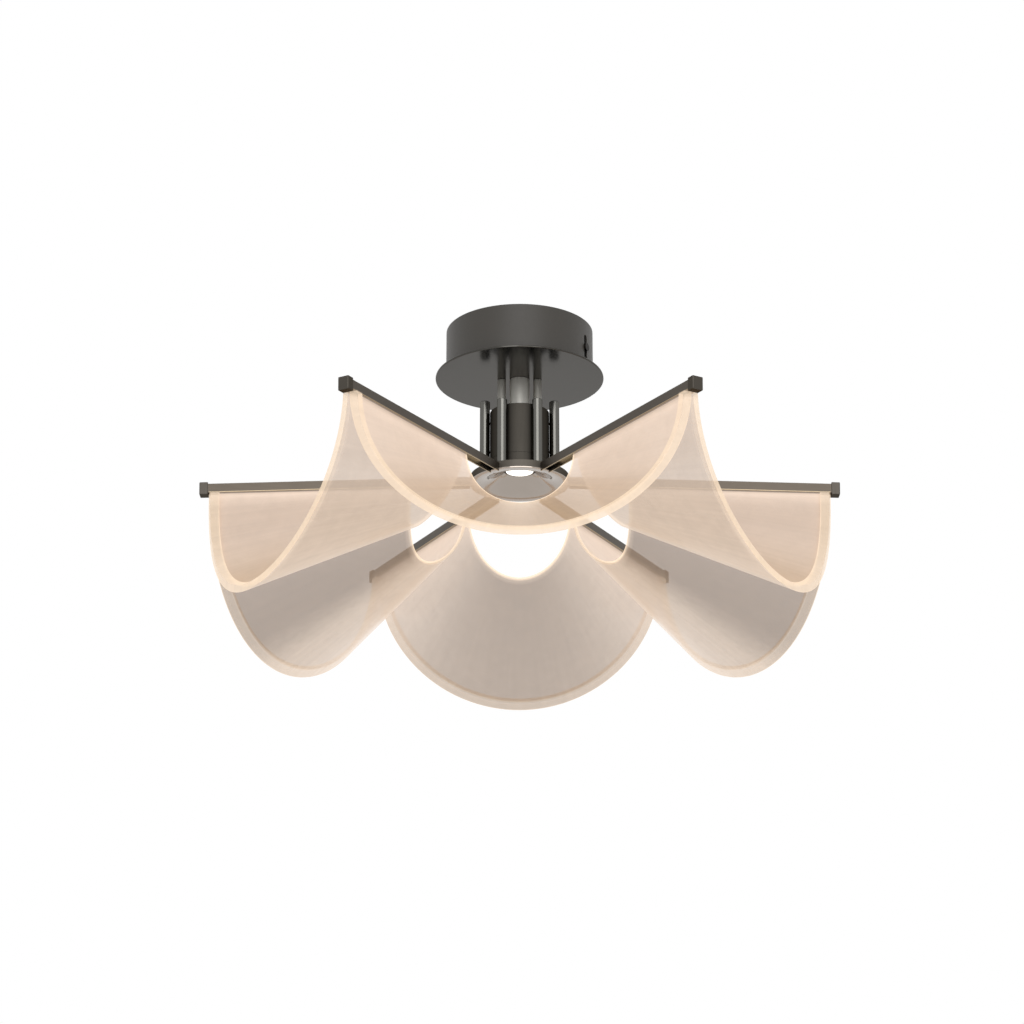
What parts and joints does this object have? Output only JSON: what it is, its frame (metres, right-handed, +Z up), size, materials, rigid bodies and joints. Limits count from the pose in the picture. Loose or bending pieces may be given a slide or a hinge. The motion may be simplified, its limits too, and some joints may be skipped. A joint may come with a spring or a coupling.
{
  "type": "semi-flush ceiling light",
  "caption": "Semi-flush ceiling light: drooping arms round a polished column carry curved translucent acrylic troughs, over a small downlight in a polished dish.",
  "frame": {"origin": "on the ceiling plane, at the light's upright axis, which is the centre of the bracket's two ceiling holes", "axes": "+Z up into the ceiling; +X to the right and +Y away in the picture, with arms along +X and -X"},
  "size_m": [0.6002, 0.5338, 0.2985],
  "materials": {
    "canopy_paint": "satin dark warm grey",
    "dark_chrome": "polished dark nickel",
    "dish_chrome": "polished",
    "hub_paint": "satin dark warm grey",
    "arm_aluminium": "satin dark anodised",
    "cap_metal": "satin dark anodised",
    "frosted_acrylic": "translucent acrylic, smooth",
    "strip_light": "lit",
    "downlight_light": "lit",
    "downlight_lens": "frosted, lit",
    "divider_rubber": "matt",
    "zinc_steel": "zinc plated",
    "black_screws": "black oxide",
    "driver_plastic": "matt",
    "terminal_plastic": "matt",
    "cable_sheath": "matt",
    "earth_brass": "plain",
    "sink_aluminium": "as extruded",
    "holder_plastic": "matt"
  },
  "bodies": {
    "root": {"arm_1": "arm_aluminium", "arm_2": "arm_aluminium", "arm_3": "arm_aluminium", "arm_4": "arm_aluminium", "arm_5": "arm_aluminium", "arm_6": "arm_aluminium", "arm_dividers": "divider_rubber", "arm_leads": "cable_sheath", "arm_screws": "black_screws", "canopy_drum": "canopy_paint", "canopy_plate": "dark_chrome", "canopy_side_screws": "black_screws", "ceiling_bracket": "zinc_steel", "column_core": "dark_chrome", "column_rod_1": "dark_chrome", "column_rod_2": "dark_chrome", "column_rod_3": "dark_chrome", "column_rod_4": "dark_chrome", "column_rod_5": "dark_chrome", "column_rod_6": "dark_chrome", "downlight_board": "downlight_light", "downlight_housing": "dark_chrome", "downlight_lens": "downlight_lens", "driver_case": "driver_plastic", "driver_lead": "cable_sheath", "driver_screws": "zinc_steel", "drum_nuts": "zinc_steel", "earth_screw": "earth_brass", "end_cap_1": "cap_metal", "end_cap_2": "cap_metal", "end_cap_3": "cap_metal", "end_cap_4": "cap_metal", "end_cap_5": "cap_metal", "end_cap_6": "cap_metal", "heat_sink": "sink_aluminium", "hub_body": "hub_paint", "led_strip_1": "strip_light", "led_strip_2": "strip_light", "led_strip_3": "strip_light", "led_strip_4": "strip_light", "led_strip_5": "strip_light", "led_strip_6": "strip_light", "lens_holder": "holder_plastic", "neck_sleeve": "dark_chrome", "nipple_nuts": "zinc_steel", "nipple_washers": "zinc_steel", "petal_1": "frosted_acrylic", "petal_2": "frosted_acrylic", "petal_3": "frosted_acrylic", "petal_4": "frosted_acrylic", "petal_5": "frosted_acrylic", "petal_6": "frosted_acrylic", "reflector_dish": "dish_chrome", "rod_screws": "black_screws", "sink_screws": "zinc_steel", "spacer_pillars": "dark_chrome", "supply_leads": "cable_sheath", "terminal_block": "terminal_plastic", "threaded_nipple": "zinc_steel", "tie_screws": "black_screws"}
  },
  "joints": []
}
